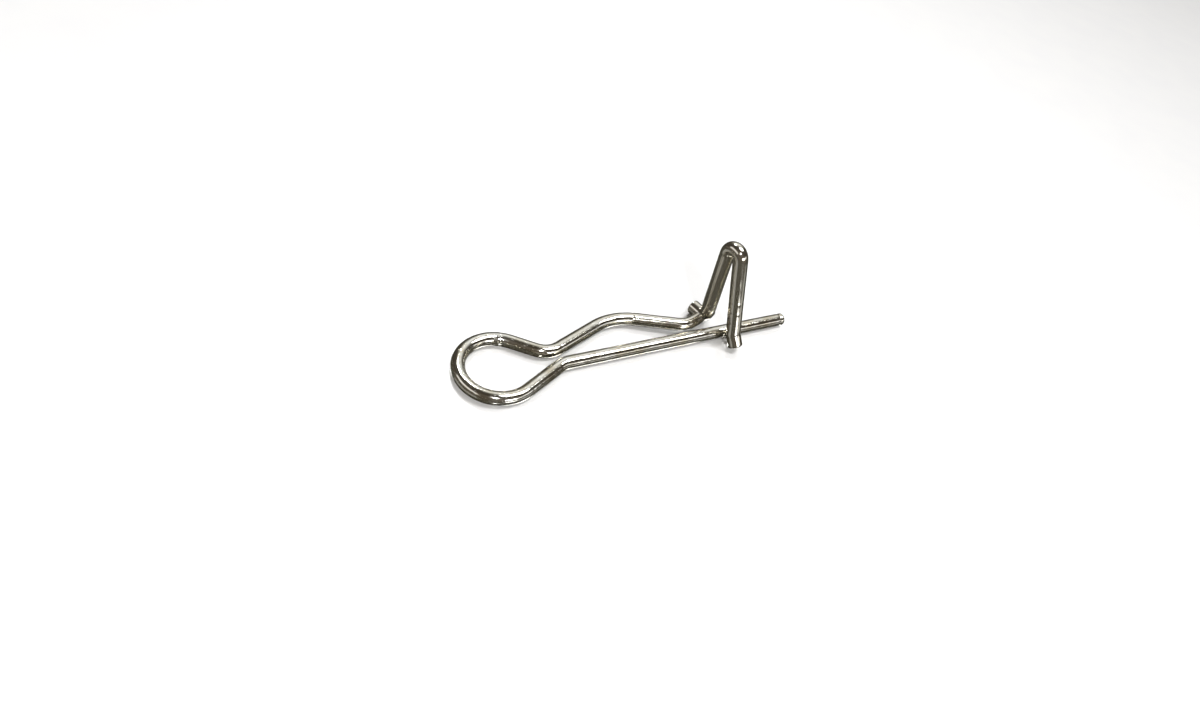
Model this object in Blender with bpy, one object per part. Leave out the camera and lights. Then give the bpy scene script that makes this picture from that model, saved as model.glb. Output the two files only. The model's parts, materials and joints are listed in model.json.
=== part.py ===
"""Hitch pin lock: a spring wire hitch pin clip with a pivoting locking bail.

Frame: the straight leg runs along +X, the humped leg lies on its +Y side and the
bail stands up along +Z. The origin is on the underside of the straight leg, across
from the crest of the hump, where the axis of the locked pin would cross.
"""
import bmesh
import bpy
from math import acos, ceil, cos, pi, radians, sin, tan
from mathutils import Matrix, Vector

MM = 0.001

# Driving dimensions, in millimetres
CLIP_WIRE = 3.0           # wire diameter of the spring clip
BAIL_WIRE = 3.5           # wire diameter of the locking bail
PART_GAP = 0.3            # clearance between the clip and the bail

TIP_X = 43.3              # square-cut tip of the straight leg
THROAT_X = -17.1          # where the straight leg turns towards the eye
THROAT_BEND = 6.0
EYE_CENTRE = (-31.0, 2.3)
EYE_RADIUS = 8.2
EYE_LOWER_TURN = 26.0     # degrees between the lower throat and the straight leg
EYE_UPPER_TURN = 38.0     # degrees between the upper throat and the straight leg
VALLEY = (-19.1, 3.3)     # waist of the humped leg
VALLEY_BEND = 4.8
CREST = (0.0, 10.6)       # corner above the hump's crown
CREST_BEND = 13.5
CONTACT_X = 16.0          # where the humped leg comes closest to the straight leg
CONTACT_BEND = 4.0

FLARE_ANGLE = 17.4        # degrees that the humped leg's end turns away
PIVOT_PLACE = (22.75, 5.3)  # centre of the bail's cross hole, seen from above
JOURNAL = 1.5             # diameter of the turned-down end that carries the bail
CROSS_HOLE = JOURNAL + 2 * PART_GAP
HEAD = 2.7                # diameter of the peened head
HEAD_LENGTH = 0.8

BACK_LEAN = 4.6           # degrees that the back leg leans away from the straight leg
FRONT_LEAN = 18.6         # degrees that the front leg leans the same way
APEX_BEND = 1.85
ELBOW_BEND = 2.0          # between the back leg and the tail
TAIL_END = -4.0           # widths and heights are measured from the pivot
KNEE = (8.8, 1.2)         # where the front leg turns out into its foot
KNEE_BEND = 3.0
FOOT_END = (10.7, -1.3)
FLOOR_GAP = 0.05          # the tail just clears the surface that the clip lies on

WIRE_SIDES = 12
BEVEL_RESOLUTION = 4      # gives a twelve-sided wire
ARC_STEP = radians(11)
ROUND_SIDES = 24

# The cross hole goes through the middle of the elbow's arc
ELBOW_INSET = ELBOW_BEND * (1 - cos(pi / 4))
TAIL_HEIGHT = BAIL_WIRE / 2 / cos(pi / WIRE_SIDES) + FLOOR_GAP
PIVOT = (*PIVOT_PLACE, TAIL_HEIGHT + ELBOW_INSET)

PIN_AXIS = Vector((cos(radians(FLARE_ANGLE)), sin(radians(FLARE_ANGLE)), 0))
BAIL_ACROSS = Vector((sin(radians(FLARE_ANGLE)), -cos(radians(FLARE_ANGLE)), 0))


def flats_radius(diameter):
    """Radius to the corners of a regular wire section whose flats touch the diameter."""
    return diameter / 2 / cos(pi / WIRE_SIDES)


def clear_scene():
    for scene_object in list(bpy.data.objects):
        bpy.data.objects.remove(scene_object, do_unlink=True)


def new_collection(name):
    collection = bpy.data.collections.new(name)
    bpy.context.scene.collection.children.link(collection)
    return collection


def plated_steel(name, colour, roughness):
    material = bpy.data.materials.new(name)
    material.use_nodes = True
    shader = material.node_tree.nodes["Principled BSDF"]
    shader.inputs["Base Color"].default_value = (*colour, 1)
    shader.inputs["Metallic"].default_value = 1.0
    shader.inputs["Roughness"].default_value = roughness
    return material


def bend(before, corner, after, radius):
    """Points of the arc that rounds one corner of a wire's centreline."""
    arriving = (corner - before).normalized()
    leaving = (after - corner).normalized()
    turn = acos(max(-1.0, min(1.0, arriving.dot(leaving))))
    start = corner - arriving * radius * tan(turn / 2)
    inward = (leaving - arriving * arriving.dot(leaving)).normalized()
    centre = start + inward * radius
    steps = max(2, ceil(turn / ARC_STEP))
    points = []
    for step in range(steps + 1):
        angle = turn * step / steps
        points.append(centre - inward * radius * cos(angle) + arriving * radius * sin(angle))
    return points


def centreline(corners):
    """Turn (point, bend radius) pairs into the points of a bent wire."""
    points = []
    for index, (corner, radius) in enumerate(corners):
        if radius:
            points += bend(corners[index - 1][0], corner, corners[index + 1][0], radius)
        else:
            points.append(corner)
    return points


def wire(name, points, diameter, location, twist, material, collection):
    """A closed mesh of wire along the points, with square-cut ends."""
    curve = bpy.data.curves.new(name, "CURVE")
    curve.dimensions = "3D"
    curve.twist_mode = twist
    curve.bevel_depth = flats_radius(diameter) * MM
    curve.bevel_resolution = BEVEL_RESOLUTION
    curve.use_fill_caps = True
    spline = curve.splines.new("POLY")
    spline.points.add(len(points) - 1)
    for spline_point, point in zip(spline.points, points):
        spline_point.co = (*(point * MM), 1)
        spline_point.tilt = pi / WIRE_SIDES
    guide = bpy.data.objects.new(name + "_guide", curve)
    guide.location = location * MM
    collection.objects.link(guide)
    bpy.context.view_layer.update()

    evaluated = guide.evaluated_get(bpy.context.evaluated_depsgraph_get())
    mesh = bpy.data.meshes.new_from_object(evaluated)
    mesh.name = name
    shell = bmesh.new()
    shell.from_mesh(mesh)
    bmesh.ops.remove_doubles(shell, verts=shell.verts, dist=0.00001)
    bmesh.ops.recalc_face_normals(shell, faces=shell.faces)
    shell.to_mesh(mesh)
    shell.free()
    mesh.materials.clear()
    mesh.materials.append(material)
    mesh.shade_smooth()
    mesh.set_sharp_from_angle(angle=radians(40))

    part = bpy.data.objects.new(name, mesh)
    part.matrix_world = guide.matrix_world
    collection.objects.link(part)
    bpy.data.objects.remove(guide, do_unlink=True)
    return part


def round_bar(name, diameter, start, end, collection):
    """A bar along the pivot's axis, from start to end millimetres past its centre."""
    mesh = bpy.data.meshes.new(name)
    bar = bmesh.new()
    bmesh.ops.create_cone(bar, cap_ends=True, segments=ROUND_SIDES, radius1=diameter / 2 * MM,
                          radius2=diameter / 2 * MM, depth=(end - start) * MM)
    turn = Vector((0, 0, 1)).rotation_difference(PIN_AXIS).to_matrix().to_4x4()
    bmesh.ops.transform(bar, verts=bar.verts, matrix=turn)
    bar.to_mesh(mesh)
    bar.free()
    tool = bpy.data.objects.new(name, mesh)
    tool.location = (Vector(PIVOT) + PIN_AXIS * (start + end) / 2) * MM
    tool.hide_render = True
    tool.display_type = "WIRE"
    collection.objects.link(tool)
    return tool


def combine(part, tool, operation):
    modifier = part.modifiers.new(tool.name, "BOOLEAN")
    modifier.operation = operation
    modifier.object = tool
    modifier.solver = "EXACT"


def eye_points(height):
    """The eye's arc, from its lower throat round the back to its upper throat."""
    centre = Vector((*EYE_CENTRE, height))
    first = radians(EYE_LOWER_TURN - 90)
    last = radians(90 - EYE_UPPER_TURN - 360)
    steps = ceil((first - last) / ARC_STEP)
    points = []
    for step in range(steps + 1):
        angle = first + (last - first) * step / steps
        points.append(centre + Vector((cos(angle), sin(angle), 0)) * EYE_RADIUS)
    return points


def clip_corners():
    """Straight leg, eye, waist, hump and flared end; the end rises to the pivot."""
    height = CLIP_WIRE / 2
    shoulder = Vector(PIVOT) - PIN_AXIS * (flats_radius(BAIL_WIRE) + PART_GAP)
    contact = shoulder - PIN_AXIS * (shoulder.x - CONTACT_X) / PIN_AXIS.x
    corners = [
        (Vector((TIP_X, 0, height)), 0),
        (Vector((THROAT_X, 0, height)), THROAT_BEND),
    ]
    corners += [(point, 0) for point in eye_points(height)]
    corners += [
        (Vector((*VALLEY, height)), VALLEY_BEND),
        (Vector((*CREST, height)), CREST_BEND),
        (contact, CONTACT_BEND),
        (shoulder, 0),
    ]
    return corners


def in_bail_plane(width, height):
    """A point of the bail, from its distances across and above the pivot."""
    return BAIL_ACROSS * width + Vector((0, 0, height))


def bail_corners():
    """Tail, back leg, apex, front leg and turned-out foot, all in one plane."""
    back = tan(radians(BACK_LEAN))
    front = tan(radians(FRONT_LEAN))
    tail_height = -ELBOW_INSET
    elbow_width = ELBOW_INSET
    # The lines of the two legs meet above the apex bend that joins them
    knee_width, knee_height = KNEE
    base_width = knee_width - elbow_width + knee_height * front - tail_height * back
    meeting_height = base_width / (front - back)
    meeting_width = elbow_width - (meeting_height - tail_height) * back
    return [
        (in_bail_plane(TAIL_END, tail_height), 0),
        (in_bail_plane(elbow_width, tail_height), ELBOW_BEND),
        (in_bail_plane(meeting_width, meeting_height), APEX_BEND),
        (in_bail_plane(*KNEE), KNEE_BEND),
        (in_bail_plane(*FOOT_END), 0),
    ]


def make_spring_clip(parts, tools):
    steel = plated_steel("plated_spring_wire", (0.74, 0.73, 0.69), 0.2)
    points = centreline(clip_corners())
    clip = wire("spring_clip", points, CLIP_WIRE, Vector(), "Z_UP", steel, parts)
    bail_half = flats_radius(BAIL_WIRE) + PART_GAP
    journal = round_bar("journal", JOURNAL, -bail_half - 1.5, bail_half + 0.4, tools)
    head = round_bar("peened_head", HEAD, bail_half, bail_half + HEAD_LENGTH, tools)
    combine(clip, journal, "UNION")
    combine(clip, head, "UNION")
    return clip


def make_locking_bail(parts, tools):
    steel = plated_steel("plated_bail_wire", (0.72, 0.71, 0.66), 0.2)
    points = centreline(bail_corners())
    bail = wire("locking_bail", points, BAIL_WIRE, Vector(PIVOT), "MINIMUM", steel, parts)
    hole = round_bar("cross_hole_cutter", CROSS_HOLE, -BAIL_WIRE, BAIL_WIRE, tools)
    combine(bail, hole, "DIFFERENCE")
    return bail


def main():
    clear_scene()
    parts = new_collection("hitch_pin_lock")
    tools = new_collection("cutters")
    make_spring_clip(parts, tools)
    make_locking_bail(parts, tools)


main()
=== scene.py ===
"""Looks of the hitch pin lock: fine plated-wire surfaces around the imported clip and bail."""
import bmesh
import bpy
import json
from math import acos, ceil, cos, pi, radians, sin, tan
from mathutils import Matrix, Vector, noise


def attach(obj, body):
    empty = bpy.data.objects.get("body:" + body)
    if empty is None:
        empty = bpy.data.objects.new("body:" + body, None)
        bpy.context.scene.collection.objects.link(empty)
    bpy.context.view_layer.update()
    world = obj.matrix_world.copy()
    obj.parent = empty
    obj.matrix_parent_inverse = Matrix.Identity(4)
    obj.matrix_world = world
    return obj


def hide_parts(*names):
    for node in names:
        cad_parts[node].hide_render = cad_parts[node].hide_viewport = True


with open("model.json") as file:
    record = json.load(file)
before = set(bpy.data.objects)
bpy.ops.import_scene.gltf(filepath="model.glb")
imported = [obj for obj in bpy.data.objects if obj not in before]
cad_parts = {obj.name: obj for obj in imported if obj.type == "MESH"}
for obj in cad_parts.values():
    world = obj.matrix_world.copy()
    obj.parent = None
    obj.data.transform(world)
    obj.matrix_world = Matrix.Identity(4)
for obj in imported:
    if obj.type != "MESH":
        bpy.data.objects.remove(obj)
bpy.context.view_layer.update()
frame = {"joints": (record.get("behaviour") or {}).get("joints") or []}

MM = 0.001

# The wire forms, in millimetres, as the CAD has them
CLIP_WIRE = 3.0
BAIL_WIRE = 3.5
PART_GAP = 0.3
TIP_X = 43.3
THROAT_X = -17.1
THROAT_BEND = 6.0
EYE_CENTRE = (-31.0, 2.3)
EYE_RADIUS = 8.2
EYE_LOWER_TURN = 26.0
EYE_UPPER_TURN = 38.0
VALLEY = (-19.1, 3.3)
VALLEY_BEND = 4.8
CREST = (0.0, 10.6)
CREST_BEND = 13.5
CONTACT_X = 16.0
CONTACT_BEND = 4.0
FLARE_ANGLE = 17.4
JOURNAL = 1.5
CROSS_HOLE = JOURNAL + 2 * PART_GAP
HEAD = 2.7
HEAD_LENGTH = 0.8
BACK_LEAN = 4.6
FRONT_LEAN = 18.6
APEX_BEND = 1.85
ELBOW_BEND = 2.0
TAIL_END = -4.0
KNEE = (8.8, 1.2)
KNEE_BEND = 3.0
FOOT_END = (10.7, -1.3)
CAD_SIDES = 12

PIVOT = Vector(frame["joints"][0]["pos_m"]) / MM
ELBOW_INSET = ELBOW_BEND * (1 - cos(pi / 4))
BAIL_HALF = BAIL_WIRE / 2 / cos(pi / CAD_SIDES) + PART_GAP
PIN_AXIS = Vector((cos(radians(FLARE_ANGLE)), sin(radians(FLARE_ANGLE)), 0))
BAIL_ACROSS = Vector((sin(radians(FLARE_ANGLE)), -cos(radians(FLARE_ANGLE)), 0))

# Nicks that the bending tools left: (distance along the wire, depth)
NICK_REACH = 0.4
NICK_SLANT = 0.15
NICK_LEAN = 0.4           # how much shallower a nick is on one side of the wire
CLIP_NICKS = ((1.2, 0.12), (61.8, 0.04), (118.0, 0.04), (139.5, 0.05))
BAIL_NICKS = ((8.0, 0.06), (27.5, 0.05), (39.2, 0.07), (41.7, 0.08), (44.3, 0.04))

# Cropped ends: (length of the rolled lip, its depth as a share of the radius)
CLIP_LIP = (0.4, 0.16)
BAIL_LIP = (0.35, 0.12)
CAP_SHARES = (0.93, 0.75, 0.5, 0.25)

# How uneven cold-drawn, cold-bent wire is. A rate is noise per millimetre along the wire,
# and a turn is noise around it.
WAVE_DEPTH = 0.012
WAVE_RATE = 0.35
WAVE_TURN = 0.8
SPOT_START = 0.52         # noise level at which a shallow spot begins
SPOT_DEPTH = 0.16
SPOT_RATE = 1.1
SPOT_TURN = 2.2
OVAL_RATE = 0.06
OVAL_LIMIT = 0.05
OVAL_SWELL = 0.4          # share of the flattening that bulges out sideways
STRAIGHT_BEND = 0.01      # a bend below this, in 1/mm, counts as straight

# The peened head and the cross hole's mouths
JOURNAL_ROOT = 0.6        # length of the journal that is buried in the clip's end
HEAD_GAP = 0.02
HEAD_RIM = 0.12
HEAD_FLAT = 0.35          # share of the head's radius that is flat on top
# Points round the fillet: (distance short of the head's face, distance off the neck)
NECK_FILLET = ((0.12, 0.0), (0.03, 0.04), (0.0, 0.14))
MOUTH_DEPTH = 0.3
MOUTH_OVERSHOOT = 0.6
MOUTH_SPREAD = 0.9

# Fineness of the visible surface
RING_STEP = 0.25
ROUND_SIDES = 56
ARC_STEP = radians(3)
LIP_STEPS = 7
DOME_STEPS = 10
BEND_REACH = 3            # points on either side that measure a bend
SHARP_EDGE = radians(38)

# Plating
CLIP_BRIGHT = (0.86, 0.85, 0.80)
CLIP_DULL = (0.66, 0.61, 0.49)
BAIL_BRIGHT = (0.86, 0.845, 0.79)
BAIL_DULL = (0.62, 0.57, 0.46)
PIT_COLOUR = (0.16, 0.13, 0.09)
GLOSS = 0.07              # roughness of clean plating
SMEAR_ROUGHNESS = 0.11
SCRATCH_ROUGHNESS = 0.16
PIT_ROUGHNESS = 0.25
PIT_DARKNESS = 0.75
# Relief of the plating, in millimetres
DIE_LINE_RELIEF = 0.0022
PEEL_RELIEF = 0.014
SCRATCH_RELIEF = -0.0025
PIT_RELIEF = -0.015

# The camera, in degrees, metres and lens millimetres: azimuth 0 looks along +Y
VIEW_AZIMUTH = -41.7
VIEW_ELEVATION = 44.3
VIEW_ROLL = 20.2
VIEW_DISTANCE = 0.1768
LENS = 23.55
SENSOR_WIDTH = 36
SHIFT = (-0.0253, -0.0051)
CLIP_START = 0.005
EXPOSURE = 0.2

# The table, as the camera sees it and as the wires mirror it
TABLE_RADIUS = 1.6        # metres
TABLE_SIDES = 96
TABLE_GAP = 0.01          # millimetres under the wires
TABLE_LIGHT = (0.93, 0.93, 0.93)
TABLE_SHADE = (0.91, 0.91, 0.92)
TABLE_ROUGHNESS = 0.22
TABLE_IOR = 2.1
TABLE_MIRRORED = (0.055, 0.055, 0.042)
MIRRORED_ROUGHNESS = 0.04
MIRRORED_IOR = 3.5

# The room: colour by the cosine of the angle from the sky's brightest direction
SKY_POLE_ELEVATION = 44.0
SKY_STRENGTH = 1.0
BACKDROP = (0.80, 0.80, 0.80)
ROOM_STOPS = [
    (0.0, (0.10, 0.085, 0.07)),
    (0.40, (0.05, 0.042, 0.034)),
    (0.80, (0.07, 0.063, 0.052)),
    (0.93, (0.42, 0.42, 0.40)),
    (0.985, (0.80, 0.80, 0.79)),
]

# Lamps: (name, direction, width and height over distance, power at one metre)
LAMP_DISTANCE = 1.5       # metres
LAMPS = [
    ("overhead_box", (0.365, -0.08, 0.93), (0.28, 0.52), 5.6),
    ("near_lamp", (-0.24, -0.63, 0.74), (0.07, 0.07), 3.6),
    ("far_lamp", (0.09, 0.59, 0.80), (0.20, 0.14), 2.5),
    ("low_strip", (0.52, -0.80, 0.27), (1.05, 0.17), 0.6),
    ("low_lamp", (0.184, -0.945, 0.27), (0.38, 0.17), 1.3),
    ("side_fill", (-0.85, 0.05, 0.45), (1.10, 0.35), 0.9),
]


# ---------------------------------------------------------------- centrelines

def bend(before, corner, after, radius):
    """Points of the arc that rounds one corner of a wire's centreline."""
    arriving = (corner - before).normalized()
    leaving = (after - corner).normalized()
    turn = acos(max(-1.0, min(1.0, arriving.dot(leaving))))
    start = corner - arriving * radius * tan(turn / 2)
    inward = (leaving - arriving * arriving.dot(leaving)).normalized()
    centre = start + inward * radius
    steps = max(2, ceil(turn / ARC_STEP))
    points = []
    for step in range(steps + 1):
        angle = turn * step / steps
        points.append(centre - inward * radius * cos(angle) + arriving * radius * sin(angle))
    return points


def centreline(corners):
    """Turn (point, bend radius) pairs into the points of a bent wire."""
    points = []
    for index, (corner, radius) in enumerate(corners):
        if radius:
            points += bend(corners[index - 1][0], corner, corners[index + 1][0], radius)
        else:
            points.append(corner)
    return points


def spaced(points, step):
    """The same line with its points an even step apart."""
    lengths = [0.0]
    for first, second in zip(points, points[1:]):
        lengths.append(lengths[-1] + (second - first).length)
    count = max(2, round(lengths[-1] / step))
    result = []
    segment = 0
    for index in range(count + 1):
        distance = lengths[-1] * index / count
        while segment < len(points) - 2 and lengths[segment + 1] < distance:
            segment += 1
        span = lengths[segment + 1] - lengths[segment]
        share = (distance - lengths[segment]) / span if span else 0.0
        result.append(points[segment].lerp(points[segment + 1], min(1.0, share)))
    return result


def relaxed(points, rounds):
    """Ease the joins between straight runs and arcs, as cold-bent wire does."""
    for _ in range(rounds):
        eased = [points[0]]
        for before, here, after in zip(points, points[1:], points[2:]):
            eased.append((before + here * 2 + after) / 4)
        points = eased + [points[-1]]
    return points


def eye_points(height):
    """The eye's arc, from its lower throat round the back to its upper throat."""
    centre = Vector((*EYE_CENTRE, height))
    first = radians(EYE_LOWER_TURN - 90)
    last = radians(90 - EYE_UPPER_TURN - 360)
    steps = ceil((first - last) / ARC_STEP)
    points = []
    for step in range(steps + 1):
        angle = first + (last - first) * step / steps
        points.append(centre + Vector((cos(angle), sin(angle), 0)) * EYE_RADIUS)
    return points


def clip_corners():
    """Straight leg, eye, waist, hump and flared end."""
    height = CLIP_WIRE / 2
    shoulder = PIVOT - PIN_AXIS * BAIL_HALF
    contact = shoulder - PIN_AXIS * (shoulder.x - CONTACT_X) / PIN_AXIS.x
    corners = [
        (Vector((TIP_X, 0, height)), 0),
        (Vector((THROAT_X, 0, height)), THROAT_BEND),
    ]
    corners += [(point, 0) for point in eye_points(height)]
    corners += [
        (Vector((*VALLEY, height)), VALLEY_BEND),
        (Vector((*CREST, height)), CREST_BEND),
        (contact, CONTACT_BEND),
        (shoulder, 0),
    ]
    return corners


def in_bail_plane(width, height):
    """A point of the bail, from its distances across and above the pivot."""
    return PIVOT + BAIL_ACROSS * width + Vector((0, 0, height))


def bail_corners():
    """Tail, back leg, apex, front leg and turned-out foot."""
    back = tan(radians(BACK_LEAN))
    front = tan(radians(FRONT_LEAN))
    tail_height = -ELBOW_INSET
    elbow_width = ELBOW_INSET
    # The lines of the two legs meet above the apex bend that joins them
    knee_width, knee_height = KNEE
    base_width = knee_width - elbow_width + knee_height * front - tail_height * back
    meeting_height = base_width / (front - back)
    meeting_width = elbow_width - (meeting_height - tail_height) * back
    return [
        (in_bail_plane(TAIL_END, tail_height), 0),
        (in_bail_plane(elbow_width, tail_height), ELBOW_BEND),
        (in_bail_plane(meeting_width, meeting_height), APEX_BEND),
        (in_bail_plane(*KNEE), KNEE_BEND),
        (in_bail_plane(*FOOT_END), 0),
    ]


# ------------------------------------------------------------- wire surfaces

def wire_frames(points):
    """Tangent and carried-along normal at each point of a line."""
    tangents = []
    for index in range(len(points)):
        before = points[max(0, index - 1)]
        after = points[min(len(points) - 1, index + 1)]
        tangents.append((after - before).normalized())
    normal = tangents[0].orthogonal().normalized()
    frames = []
    for index, tangent in enumerate(tangents):
        if index:
            normal = tangents[index - 1].rotation_difference(tangent) @ normal
        normal = (normal - tangent * normal.dot(tangent)).normalized()
        frames.append((tangent, normal, tangent.cross(normal)))
    return frames


def edge_profile(length, lip):
    """Share of the radius near a cropped end: a small rolled lip, then full size."""
    profile = []
    for step in range(LIP_STEPS + 1):
        angle = pi / 2 * step / LIP_STEPS
        profile.append((length * (1 - cos(angle)), 1 - lip * (1 - sin(angle))))
    return profile


def ring_stations(points, lip_length, lip):
    """(distance along, radius share) of every ring, with fine rings at both ends."""
    total = sum((b - a).length for a, b in zip(points, points[1:]))
    ends = edge_profile(lip_length, lip)
    stations = list(ends)
    middle = total - 2 * lip_length
    count = round(middle / RING_STEP)
    stations += [(lip_length + middle * i / count, 1.0) for i in range(1, count)]
    stations += [(total - distance, share) for distance, share in reversed(ends)]
    return stations, total


def at_distance(points, frames, step, distance):
    """Place, normal and side at a distance along evenly spaced points."""
    # Stays just short of the last point, so that there is always a next one
    position = min(len(points) - 1.000001, max(0.0, distance / step))
    index = int(position)
    share = position - index
    place = points[index].lerp(points[index + 1], share)
    tangent = frames[index][0].lerp(frames[index + 1][0], share).normalized()
    normal = frames[index][1].lerp(frames[index + 1][1], share)
    normal = (normal - tangent * normal.dot(tangent)).normalized()
    return place, normal, tangent.cross(normal)


def curvature(points, step, distance):
    """Centre-seeking bend of the line, in 1/mm, as a vector."""
    index = min(len(points) - 1 - BEND_REACH, max(BEND_REACH, round(distance / step)))
    before = points[index - BEND_REACH]
    after = points[index + BEND_REACH]
    return (before - points[index] * 2 + after) / (BEND_REACH * step) ** 2


def surface_dent(seed, distance, direction, nicks):
    """Slight waviness, spots and bending-tool nicks of a wire, in millimetres."""
    along = distance * WAVE_RATE + seed
    wave = noise.noise(Vector((along, direction.x * WAVE_TURN, direction.y * WAVE_TURN)))
    along = distance * SPOT_RATE - seed
    spot = noise.noise(Vector((along, direction.x * SPOT_TURN, direction.y * SPOT_TURN)))
    dent = wave * WAVE_DEPTH - max(0.0, spot - SPOT_START) * SPOT_DEPTH
    for nick_place, depth in nicks:
        across = abs(distance - nick_place - direction.x * NICK_SLANT) / NICK_REACH
        if across < 1:
            lean = 1 - NICK_LEAN + NICK_LEAN * direction.y
            dent -= depth * (1 - across * across) * lean
    return dent


def wire_piece(name, line, diameter, rounds, lip, seed, nicks):
    """A fine closed surface along a wire's line, oval in its bends, with cropped ends."""
    points = spaced(relaxed(spaced(line, RING_STEP), rounds), RING_STEP)
    frames = wire_frames(points)
    stations, total = ring_stations(points, *lip)
    step = total / (len(points) - 1)
    shell = bmesh.new()
    straight = {}
    rings = []
    for distance, share in stations:
        place, normal, side = at_distance(points, frames, step, distance)
        bent = curvature(points, step, distance)
        inward = bent.normalized()
        strain = min(OVAL_LIMIT, bent.length * diameter * OVAL_RATE)
        ring = []
        for index in range(ROUND_SIDES):
            angle = 2 * pi * index / ROUND_SIDES
            outward = normal * cos(angle) + side * sin(angle)
            inward_share = outward.dot(inward) ** 2 if bent.length > STRAIGHT_BEND else 0.5
            around = Vector((cos(angle), sin(angle)))
            radius = diameter / 2 * share * (1 + strain * (OVAL_SWELL - inward_share))
            radius += surface_dent(seed, distance, around, nicks) * share
            vertex = shell.verts.new((place + outward * radius) * MM)
            straight[vertex] = (distance, cos(angle) * diameter / 2, sin(angle) * diameter / 2)
            ring.append(vertex)
        rings.append(ring)
    join_rings(shell, rings)
    cap_end(shell, rings[0], straight, 0.0)
    cap_end(shell, rings[-1], straight, total)
    return finished_mesh(name, shell, straight)


def join_rings(shell, rings):
    """Faces between each ring and the next."""
    for first, second in zip(rings, rings[1:]):
        for index in range(len(first)):
            after = (index + 1) % len(first)
            shell.faces.new((first[index], first[after], second[after], second[index]))


def cap_end(shell, ring, straight, distance):
    """Close an end with flat inner rings and a middle face."""
    centre = sum((vertex.co for vertex in ring), Vector()) / len(ring)
    outer = ring
    for share in CAP_SHARES:
        inner = []
        for vertex in ring:
            copy = shell.verts.new(centre + (vertex.co - centre) * share)
            _, across, up = straight[vertex]
            straight[copy] = (distance, across * share, up * share)
            inner.append(copy)
        for index in range(len(ring)):
            after = (index + 1) % len(ring)
            shell.faces.new((outer[index], outer[after], inner[after], inner[index]))
        outer = inner
    shell.faces.new(outer)


def finished_mesh(name, shell, straight):
    """An object from the shell, with each vertex's place on the straightened wire."""
    shell.verts.index_update()
    bmesh.ops.recalc_face_normals(shell, faces=shell.faces)
    mesh = bpy.data.meshes.new(name)
    places = [0.0] * (3 * len(shell.verts))
    for vertex, place in straight.items():
        places[3 * vertex.index:3 * vertex.index + 3] = place
    shell.to_mesh(mesh)
    shell.free()
    attribute = mesh.attributes.new("wire", "FLOAT_VECTOR", "POINT")
    attribute.data.foreach_set("vector", places)
    mesh.shade_smooth()
    mesh.set_sharp_from_angle(angle=SHARP_EDGE)
    piece = bpy.data.objects.new(name, mesh)
    bpy.context.scene.collection.objects.link(piece)
    return piece


def turned_piece(name, profile):
    """A turned shape about the bail's pivot axis, from (along, radius) pairs."""
    turn = Vector((0, 0, 1)).rotation_difference(PIN_AXIS).to_matrix()
    shell = bmesh.new()
    straight = {}
    rings = []
    for along, radius in profile:
        ring = []
        for index in range(ROUND_SIDES):
            angle = 2 * pi * index / ROUND_SIDES
            local = Vector((cos(angle) * radius, sin(angle) * radius, along))
            vertex = shell.verts.new((PIVOT + turn @ local) * MM)
            straight[vertex] = (along, local.x, local.y)
            ring.append(vertex)
        rings.append(ring)
    join_rings(shell, rings)
    shell.faces.new(rings[0])
    shell.faces.new(rings[-1])
    return finished_mesh(name, shell, straight)


def head_profile():
    """Journal, fillet under the head, rolled rim and the flat-topped peened dome."""
    neck = JOURNAL / 2
    rim = HEAD / 2
    face = BAIL_HALF + HEAD_GAP
    shoulder = face + HEAD_RIM
    dome = BAIL_HALF + HEAD_LENGTH - face - HEAD_RIM
    root = -BAIL_HALF - JOURNAL_ROOT
    profile = [(root, neck), (root + JOURNAL_ROOT / 2, neck), (0, neck)]
    profile += [(face - short, neck + off) for short, off in NECK_FILLET]
    profile.append((face, rim - HEAD_RIM))
    for step in range(DOME_STEPS + 1):
        angle = pi / 2 * step / DOME_STEPS
        width = HEAD_FLAT + (1 - HEAD_FLAT) * cos(angle)
        profile.append((shoulder + dome * sin(angle), rim * width))
    return profile


def drill_cross_hole(piece):
    """Cut the bail's cross hole, with its mouths broken by a countersink."""
    mouth = BAIL_WIRE / 2
    radius = CROSS_HOLE / 2
    cutter = turned_piece("cross_hole_cutter", [
        (-mouth - MOUTH_OVERSHOOT, radius + MOUTH_SPREAD),
        (-mouth + MOUTH_DEPTH, radius),
        (0, radius),
        (mouth - MOUTH_DEPTH, radius),
        (mouth + MOUTH_OVERSHOOT, radius + MOUTH_SPREAD),
    ])
    modifier = piece.modifiers.new("cross_hole", "BOOLEAN")
    modifier.operation = "DIFFERENCE"
    modifier.object = cutter
    modifier.solver = "EXACT"
    bpy.context.view_layer.update()
    graph = bpy.context.evaluated_depsgraph_get()
    mesh = bpy.data.meshes.new_from_object(piece.evaluated_get(graph))
    piece.modifiers.clear()
    piece.data = mesh
    bpy.data.objects.remove(cutter, do_unlink=True)


# ------------------------------------------------------------------ materials

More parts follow.
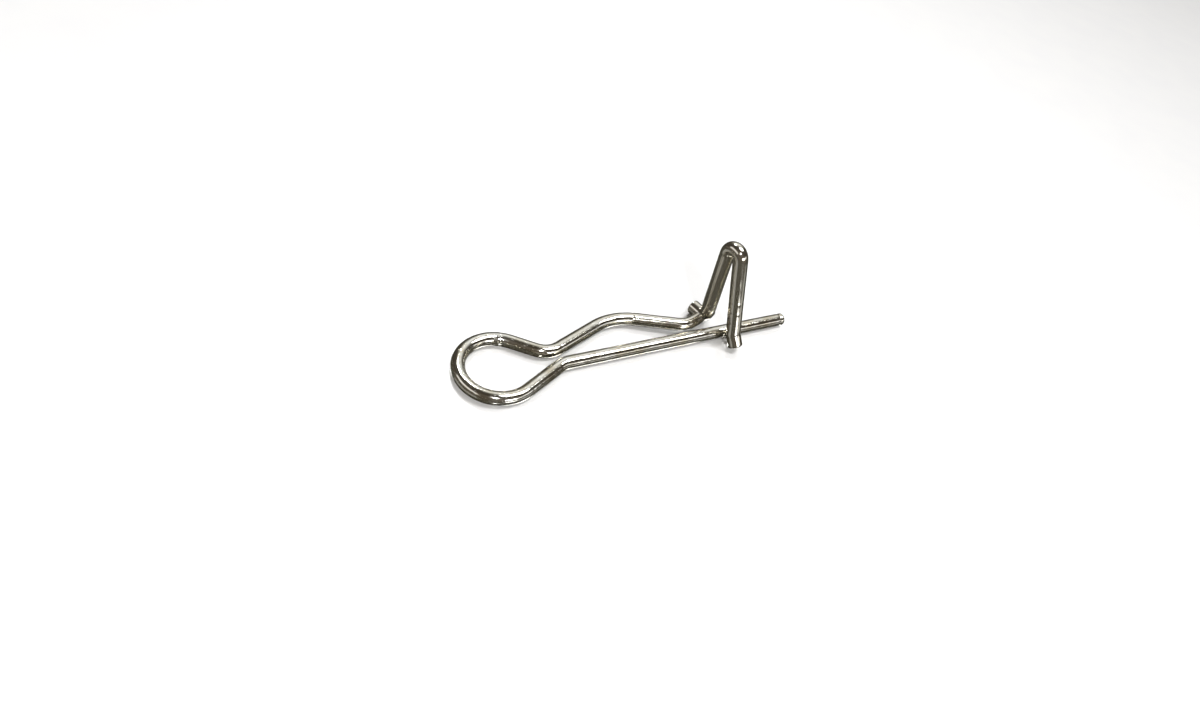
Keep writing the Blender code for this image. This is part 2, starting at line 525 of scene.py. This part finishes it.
class Nodes:
    """Short calls that add and join a material's nodes."""

    def __init__(self, tree):
        self.tree = tree

    def add(self, kind, **inputs):
        node = self.tree.nodes.new(kind)
        for name, value in inputs.items():
            self.set(node.inputs[name.replace("_", " ")], value)
        return node

    def set(self, socket, value):
        if isinstance(value, bpy.types.NodeSocket):
            self.tree.links.new(value, socket)
        else:
            socket.default_value = value

    def math(self, operation, first, second=0.0, third=0.0):
        node = self.tree.nodes.new("ShaderNodeMath")
        node.operation = operation
        for socket, value in zip(node.inputs, (first, second, third)):
            self.set(socket, value)
        return node.outputs[0]

    def stretched(self, vector, scale):
        node = self.tree.nodes.new("ShaderNodeMapping")
        self.set(node.inputs["Vector"], vector)
        node.inputs["Scale"].default_value = scale
        return node.outputs[0]

    def noise(self, vector, scale, detail=3.0, roughness=0.5):
        node = self.add("ShaderNodeTexNoise", Vector=vector, Scale=scale, Detail=detail,
                        Roughness=roughness)
        return node.outputs["Fac"]

    def ramp(self, value, stops):
        node = self.tree.nodes.new("ShaderNodeValToRGB")
        self.set(node.inputs["Fac"], value)
        elements = node.color_ramp.elements
        while len(elements) < len(stops):
            elements.new(0.5)
        for element, (position, colour) in zip(elements, stops):
            element.position = position
            element.color = (*colour, 1)
        return node.outputs["Color"]

    def level(self, value, low, high, to_low=0.0, to_high=1.0):
        node = self.add("ShaderNodeMapRange", Value=value)
        node.inputs["From Min"].default_value = low
        node.inputs["From Max"].default_value = high
        node.inputs["To Min"].default_value = to_low
        node.inputs["To Max"].default_value = to_high
        return node.outputs["Result"]


# Texture scales are per millimetre, because the wire attribute is in millimetres

def wire_marks(nodes, wire):
    """Masks of the fine scratches and of the pits, which gather in patches."""
    scratch = nodes.noise(nodes.stretched(wire, (0.35, 2.6, 1.1)), 5.5, 2, 0.4)
    scratched = nodes.level(scratch, 0.66, 0.7)
    pits = nodes.add("ShaderNodeTexVoronoi", Vector=wire, Scale=1.3)
    pitted = nodes.level(pits.outputs["Distance"], 0.11, 0.05)
    pit_places = nodes.level(nodes.noise(wire, 0.6, 2), 0.55, 0.62)
    return scratched, nodes.math("MULTIPLY", pitted, pit_places)


def plating_colour(nodes, wire, pitted, bright, dull):
    """Bright plating that turns to a warm tarnish in patches, with dark pits."""
    tarnish = nodes.noise(wire, 0.28, 4, 0.6)
    middling = tuple(0.5 * (a + b) for a, b in zip(bright, dull))
    colour = nodes.ramp(tarnish, [(0.36, bright), (0.52, middling), (0.66, dull)])
    mix = nodes.tree.nodes.new("ShaderNodeMix")
    mix.data_type = "RGBA"
    nodes.set(mix.inputs["Factor"], nodes.math("MULTIPLY", pitted, PIT_DARKNESS))
    nodes.set(mix.inputs["A"], colour)
    mix.inputs["B"].default_value = (*PIT_COLOUR, 1)
    return mix.outputs["Result"]


def plating_roughness(nodes, wire, scratched, pitted):
    """Glossy, with duller smears, scratches and pits."""
    smear = nodes.noise(wire, 0.7, 4, 0.6)
    smeared = nodes.level(smear, 0.35, 0.7, GLOSS, GLOSS + SMEAR_ROUGHNESS)
    rough = nodes.math("MULTIPLY_ADD", scratched, SCRATCH_ROUGHNESS, smeared)
    return nodes.math("MULTIPLY_ADD", pitted, PIT_ROUGHNESS, rough)


def plating_relief(nodes, wire, scratched, pitted):
    """Bumps in millimetres: die lines along the wire, a soft peel, scratches and pits."""
    die_lines = nodes.noise(nodes.stretched(wire, (0.03, 1, 1)), 9.0, 4, 0.65)
    peel = nodes.noise(wire, 1.6, 3, 0.5)
    height = nodes.math("MULTIPLY", die_lines, DIE_LINE_RELIEF)
    height = nodes.math("MULTIPLY_ADD", peel, PEEL_RELIEF, height)
    height = nodes.math("MULTIPLY_ADD", scratched, SCRATCH_RELIEF, height)
    height = nodes.math("MULTIPLY_ADD", pitted, PIT_RELIEF, height)
    bump = nodes.add("ShaderNodeBump", Height=height)
    bump.inputs["Distance"].default_value = MM
    bump.inputs["Strength"].default_value = 1.0
    return bump.outputs["Normal"]


def plated_wire(name, bright, dull):
    """Bright plating on drawn wire, textured along the straightened wire."""
    material = bpy.data.materials.new(name)
    material.use_nodes = True
    nodes = Nodes(material.node_tree)
    shader = material.node_tree.nodes["Principled BSDF"]
    place = nodes.add("ShaderNodeAttribute")
    place.attribute_name = "wire"
    wire = place.outputs["Vector"]
    scratched, pitted = wire_marks(nodes, wire)
    colour = plating_colour(nodes, wire, pitted, bright, dull)
    nodes.set(shader.inputs["Base Color"], colour)
    nodes.set(shader.inputs["Roughness"], plating_roughness(nodes, wire, scratched, pitted))
    nodes.set(shader.inputs["Normal"], plating_relief(nodes, wire, scratched, pitted))
    shader.inputs["Metallic"].default_value = 1.0
    return material


def table_top():
    """Glossy pale table, dimmer in the wires' reflections than where it is seen."""
    material = bpy.data.materials.new("pale_table")
    material.use_nodes = True
    nodes = Nodes(material.node_tree)
    seen = material.node_tree.nodes["Principled BSDF"]
    coordinates = nodes.add("ShaderNodeTexCoord").outputs["Object"]
    mottle = nodes.noise(coordinates, 60, 3)
    pale = nodes.ramp(mottle, [(0.3, TABLE_SHADE), (0.7, TABLE_LIGHT)])
    nodes.set(seen.inputs["Base Color"], pale)
    seen.inputs["Roughness"].default_value = TABLE_ROUGHNESS
    seen.inputs["IOR"].default_value = TABLE_IOR
    mirrored = nodes.tree.nodes.new("ShaderNodeBsdfPrincipled")
    mirrored.inputs["Base Color"].default_value = (*TABLE_MIRRORED, 1)
    mirrored.inputs["Roughness"].default_value = MIRRORED_ROUGHNESS
    mirrored.inputs["IOR"].default_value = MIRRORED_IOR
    mix = nodes.tree.nodes.new("ShaderNodeMixShader")
    nodes.set(mix.inputs[0], nodes.add("ShaderNodeLightPath").outputs["Is Camera Ray"])
    nodes.set(mix.inputs[1], mirrored.outputs["BSDF"])
    nodes.set(mix.inputs[2], seen.outputs["BSDF"])
    nodes.set(material.node_tree.nodes["Material Output"].inputs["Surface"], mix.outputs["Shader"])
    return material


# -------------------------------------------------------------------- staging

def make_table():
    """A round table top just under the wires."""
    mesh = bpy.data.meshes.new("table")
    top = bmesh.new()
    bmesh.ops.create_circle(top, cap_ends=True, segments=TABLE_SIDES, radius=TABLE_RADIUS)
    top.to_mesh(mesh)
    top.free()
    mesh.materials.append(table_top())
    table = bpy.data.objects.new("table", mesh)
    table.location.z = -TABLE_GAP * MM
    bpy.context.scene.collection.objects.link(table)


def make_camera():
    """The photo's view: from above on the near side, rolled, looking at the origin."""
    azimuth = radians(VIEW_AZIMUTH)
    elevation = radians(VIEW_ELEVATION)
    back = Vector((sin(azimuth) * cos(elevation), -cos(azimuth) * cos(elevation), sin(elevation)))
    camera = bpy.data.objects.new("camera", bpy.data.cameras.new("camera"))
    turn = (-back).to_track_quat("-Z", "Y").to_matrix() @ Matrix.Rotation(radians(VIEW_ROLL), 3, "Z")
    camera.matrix_world = Matrix.Translation(back * VIEW_DISTANCE) @ turn.to_4x4()
    camera.data.sensor_width = SENSOR_WIDTH
    camera.data.lens = LENS
    camera.data.shift_x, camera.data.shift_y = SHIFT
    camera.data.clip_start = CLIP_START
    bpy.context.scene.collection.objects.link(camera)
    bpy.context.scene.camera = camera


def make_world():
    """A soft patch of sky on the far side, in a dim room; the camera sees a pale backdrop."""
    world = bpy.data.worlds.new("soft_studio")
    world.use_nodes = True
    bpy.context.scene.world = world
    nodes = Nodes(world.node_tree)
    direction = nodes.add("ShaderNodeTexCoord").outputs["Generated"]
    toward = nodes.tree.nodes.new("ShaderNodeVectorMath")
    toward.operation = "DOT_PRODUCT"
    nodes.set(toward.inputs[0], direction)
    azimuth = radians(VIEW_AZIMUTH)
    pole = radians(SKY_POLE_ELEVATION)
    far = Vector((-sin(azimuth), cos(azimuth), 0)) * cos(pole)
    toward.inputs[1].default_value = (far.x, far.y, sin(pole))
    colour = nodes.ramp(toward.outputs["Value"], ROOM_STOPS)
    mix = nodes.tree.nodes.new("ShaderNodeMix")
    mix.data_type = "RGBA"
    nodes.set(mix.inputs["Factor"], nodes.add("ShaderNodeLightPath").outputs["Is Camera Ray"])
    nodes.set(mix.inputs["A"], colour)
    mix.inputs["B"].default_value = (*BACKDROP, 1)
    background = world.node_tree.nodes["Background"]
    nodes.set(background.inputs["Color"], mix.outputs["Result"])
    background.inputs["Strength"].default_value = SKY_STRENGTH


def make_lamp(name, direction, size, power):
    """A rectangular lamp that faces the origin."""
    toward = Vector(direction).normalized()
    lamp = bpy.data.lights.new(name, "AREA")
    lamp.shape = "RECTANGLE"
    lamp.size = size[0] * LAMP_DISTANCE
    lamp.size_y = size[1] * LAMP_DISTANCE
    lamp.energy = power * LAMP_DISTANCE ** 2
    light = bpy.data.objects.new(name, lamp)
    light.location = toward * LAMP_DISTANCE
    light.rotation_mode = "QUATERNION"
    light.rotation_quaternion = (-toward * LAMP_DISTANCE).to_track_quat("-Z", "Y")
    bpy.context.scene.collection.objects.link(light)


# ----------------------------------------------------------------- the object

def make_clip():
    """The bent spring wire, and the journal and peened head at its end."""
    steel = plated_wire("clip_plating", CLIP_BRIGHT, CLIP_DULL)
    line = centreline(clip_corners())
    clip = wire_piece("spring_clip_wire", line, CLIP_WIRE, rounds=10, lip=CLIP_LIP, seed=3.7,
                      nicks=CLIP_NICKS)
    clip.data.materials.append(steel)
    head = turned_piece("spring_clip_head", head_profile())
    head.data.materials.append(steel)
    for piece in (clip, head):
        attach(piece, "clip")
    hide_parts("spring_clip")


def make_bail():
    """The thicker bent wire, drilled across its elbow."""
    steel = plated_wire("bail_plating", BAIL_BRIGHT, BAIL_DULL)
    line = centreline(bail_corners())
    bail = wire_piece("locking_bail_wire", line, BAIL_WIRE, rounds=1, lip=BAIL_LIP, seed=11.3,
                      nicks=BAIL_NICKS)
    drill_cross_hole(bail)
    bail.data.materials.clear()
    bail.data.materials.append(steel)
    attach(bail, "bail")
    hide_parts("locking_bail")


make_clip()
make_bail()
make_table()
make_camera()
make_world()
for lamp_row in LAMPS:
    make_lamp(*lamp_row)
bpy.context.scene.view_settings.view_transform = "Standard"
bpy.context.scene.view_settings.exposure = EXPOSURE
